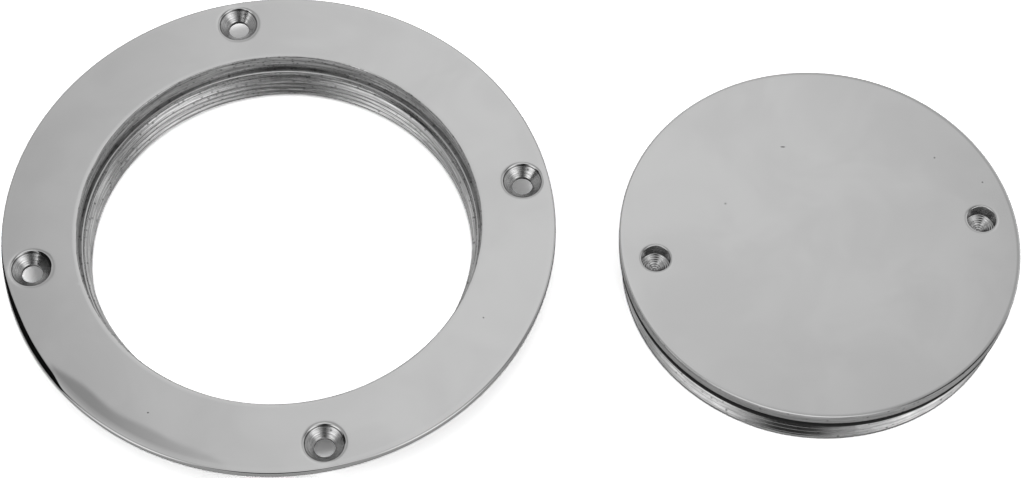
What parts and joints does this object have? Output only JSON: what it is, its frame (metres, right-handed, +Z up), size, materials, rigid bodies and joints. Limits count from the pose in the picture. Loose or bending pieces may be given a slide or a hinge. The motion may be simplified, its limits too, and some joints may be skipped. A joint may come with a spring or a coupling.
{
  "type": "deck inspection plate",
  "caption": "Round flush deck ring with countersunk screw holes and a threaded bore, and its unscrewed lid with blind key sockets and a rubber seal.",
  "frame": {"origin": "on the ring's axis, in the plane where its flange meets the deck", "axes": "+Z up out of the deck, +X from the ring's axis to the axis of the lid that lies beside it"},
  "size_m": [0.2577, 0.14, 0.015],
  "materials": {
    "ring_steel": "buffed stainless steel",
    "lid_steel": "buffed stainless steel",
    "seal_rubber": "matte black rubber"
  },
  "bodies": {
    "root": {"deck_ring": "ring_steel", "screw_lid": "lid_steel", "lid_seal": "seal_rubber"}
  },
  "joints": []
}
